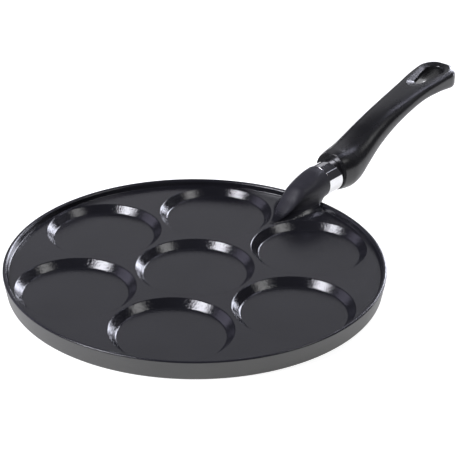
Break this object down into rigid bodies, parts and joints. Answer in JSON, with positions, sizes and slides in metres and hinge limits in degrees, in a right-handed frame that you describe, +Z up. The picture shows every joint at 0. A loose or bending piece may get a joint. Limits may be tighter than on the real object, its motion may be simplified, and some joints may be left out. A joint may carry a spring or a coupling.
{
  "type": "plett pan",
  "caption": "Round cast pan with shallow round wells for small pancakes, a raised rim, and a long fixed grip on a polished ferrule with a hanging hole.",
  "frame": {"origin": "centre of the pan's flat base, on the surface that it stands on", "axes": "+X along the handle away from the pan, +Z up out of the wells, +Y completes the right-handed frame"},
  "size_m": [0.4383, 0.2608, 0.0677],
  "materials": {
    "coated_casting": "satin black non-stick coating inside, satin grey outer wall, turned bare metal base",
    "polished_steel": "polished",
    "black_phenolic": "satin moulded",
    "plated_steel": "zinc plated"
  },
  "bodies": {
    "root": {"pan_body": "coated_casting", "handle_ferrule": "polished_steel", "handle_grip": "black_phenolic", "handle_screw": "plated_steel", "lock_washer": "plated_steel", "flat_washer": "plated_steel"}
  },
  "joints": []
}
